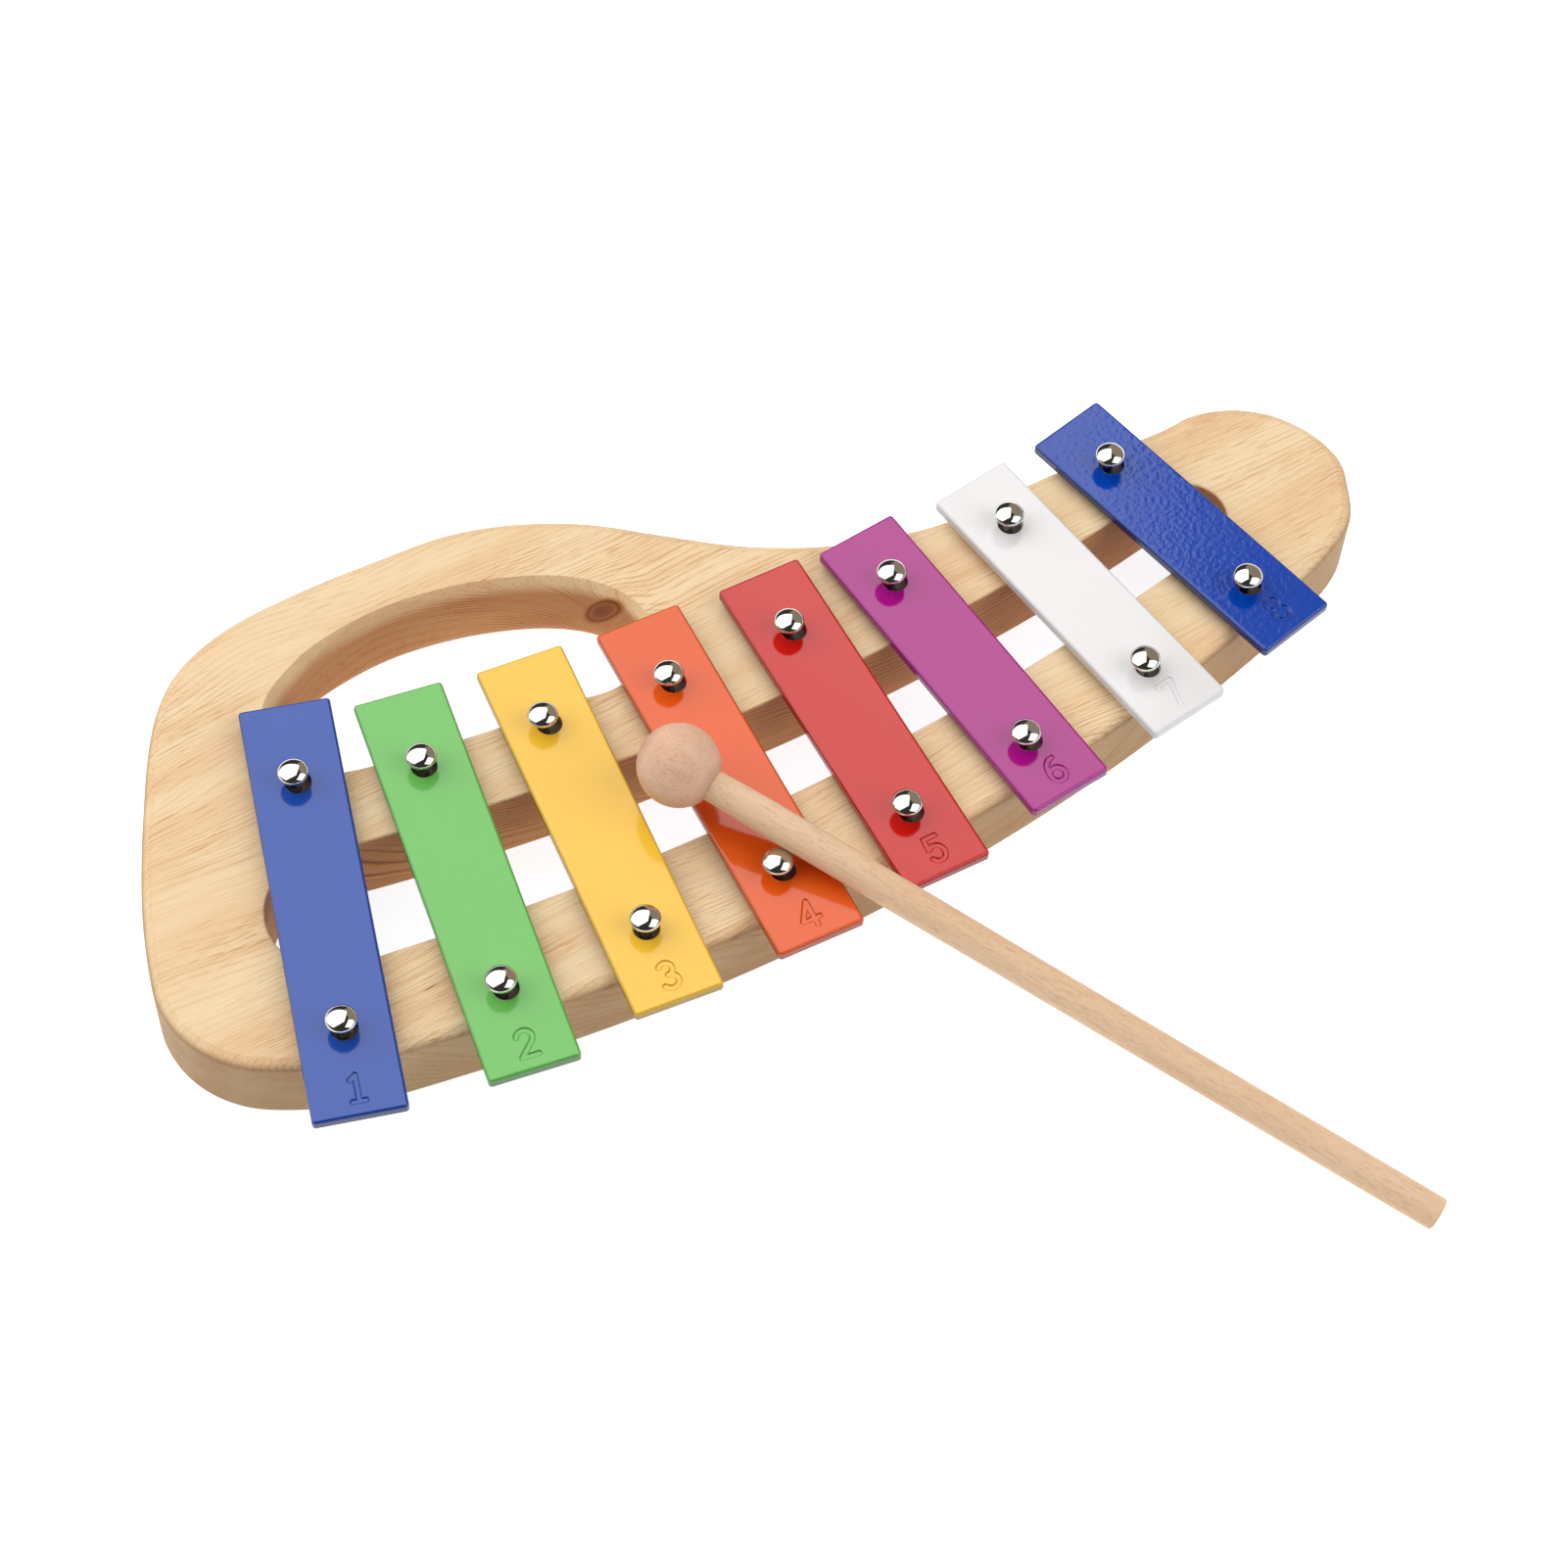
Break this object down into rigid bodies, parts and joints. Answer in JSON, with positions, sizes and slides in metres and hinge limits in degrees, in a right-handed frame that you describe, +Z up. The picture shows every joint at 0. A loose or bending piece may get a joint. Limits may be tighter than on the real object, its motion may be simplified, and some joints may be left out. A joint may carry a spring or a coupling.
{
  "type": "glockenspiel",
  "caption": "Children's glockenspiel: loose painted metal bars on domed nails over a pine board with a sounding slot and a hand hole, with a wooden ball mallet across the bars.",
  "frame": {"origin": "middle of the board's plan outline, on the flat face that it rests on", "axes": "+X along the row of bars from low to high, +Y from the player's side to the hand hole, +Z up"},
  "size_m": [0.37, 0.2999, 0.0581],
  "materials": {
    "pine": "bare, sanded",
    "beech": "bare, turned smooth",
    "nickel": "bright nickel plate",
    "felt": "pressed felt",
    "paint_blue": "thick gloss paint",
    "paint_green": "thick gloss paint",
    "paint_yellow": "thick gloss paint",
    "paint_orange": "thick gloss paint",
    "paint_red": "thick gloss paint",
    "paint_purple": "thick gloss paint",
    "paint_white": "thick gloss paint",
    "paint_deep_blue": "thick gloss paint"
  },
  "bodies": {
    "base": {"board": "pine", "nail_c_low_far": "nickel", "felt_c_low_far": "felt", "nail_c_low_near": "nickel", "felt_c_low_near": "felt", "nail_d_far": "nickel", "felt_d_far": "felt", "nail_d_near": "nickel", "felt_d_near": "felt", "nail_e_far": "nickel", "felt_e_far": "felt", "nail_e_near": "nickel", "felt_e_near": "felt", "nail_f_far": "nickel", "felt_f_far": "felt", "nail_f_near": "nickel", "felt_f_near": "felt", "nail_g_far": "nickel", "felt_g_far": "felt", "nail_g_near": "nickel", "felt_g_near": "felt", "nail_a_far": "nickel", "felt_a_far": "felt", "nail_a_near": "nickel", "felt_a_near": "felt", "nail_b_far": "nickel", "felt_b_far": "felt", "nail_b_near": "nickel", "felt_b_near": "felt", "nail_c_high_far": "nickel", "felt_c_high_far": "felt", "nail_c_high_near": "nickel", "felt_c_high_near": "felt"},
    "tone_bar_c_low": {"bar_c_low": "paint_blue"},
    "tone_bar_d": {"bar_d": "paint_green"},
    "tone_bar_e": {"bar_e": "paint_yellow"},
    "tone_bar_f": {"bar_f": "paint_orange"},
    "tone_bar_g": {"bar_g": "paint_red"},
    "tone_bar_a": {"bar_a": "paint_purple"},
    "tone_bar_b": {"bar_b": "paint_white"},
    "tone_bar_c_high": {"bar_c_high": "paint_deep_blue"},
    "mallet": {"mallet_head": "beech", "mallet_stick": "beech"}
  },
  "joints": [
    {"name": "lift_bar_c_low", "type": "slide", "parent": "base", "child": "tone_bar_c_low", "axis": [0, 0, 1], "range_m": [0, 0.0045]},
    {"name": "lift_bar_d", "type": "slide", "parent": "base", "child": "tone_bar_d", "axis": [0, 0, 1], "range_m": [0, 0.0045]},
    {"name": "lift_bar_e", "type": "slide", "parent": "base", "child": "tone_bar_e", "axis": [0, 0, 1], "range_m": [0, 0.0045]},
    {"name": "lift_bar_f", "type": "slide", "parent": "base", "child": "tone_bar_f", "axis": [0, 0, 1], "range_m": [0, 0.0045]},
    {"name": "lift_bar_g", "type": "slide", "parent": "base", "child": "tone_bar_g", "axis": [0, 0, 1], "range_m": [0, 0.0045]},
    {"name": "lift_bar_a", "type": "slide", "parent": "base", "child": "tone_bar_a", "axis": [0, 0, 1], "range_m": [0, 0.0045]},
    {"name": "lift_bar_b", "type": "slide", "parent": "base", "child": "tone_bar_b", "axis": [0, 0, 1], "range_m": [0, 0.0045]},
    {"name": "lift_bar_c_high", "type": "slide", "parent": "base", "child": "tone_bar_c_high", "axis": [0, 0, 1], "range_m": [0, 0.0045]},
    {"name": "mallet_lift", "type": "slide", "parent": "tone_bar_f", "child": "mallet", "axis": [0, 0, 1], "range_m": [0, 0.06]}
  ]
}
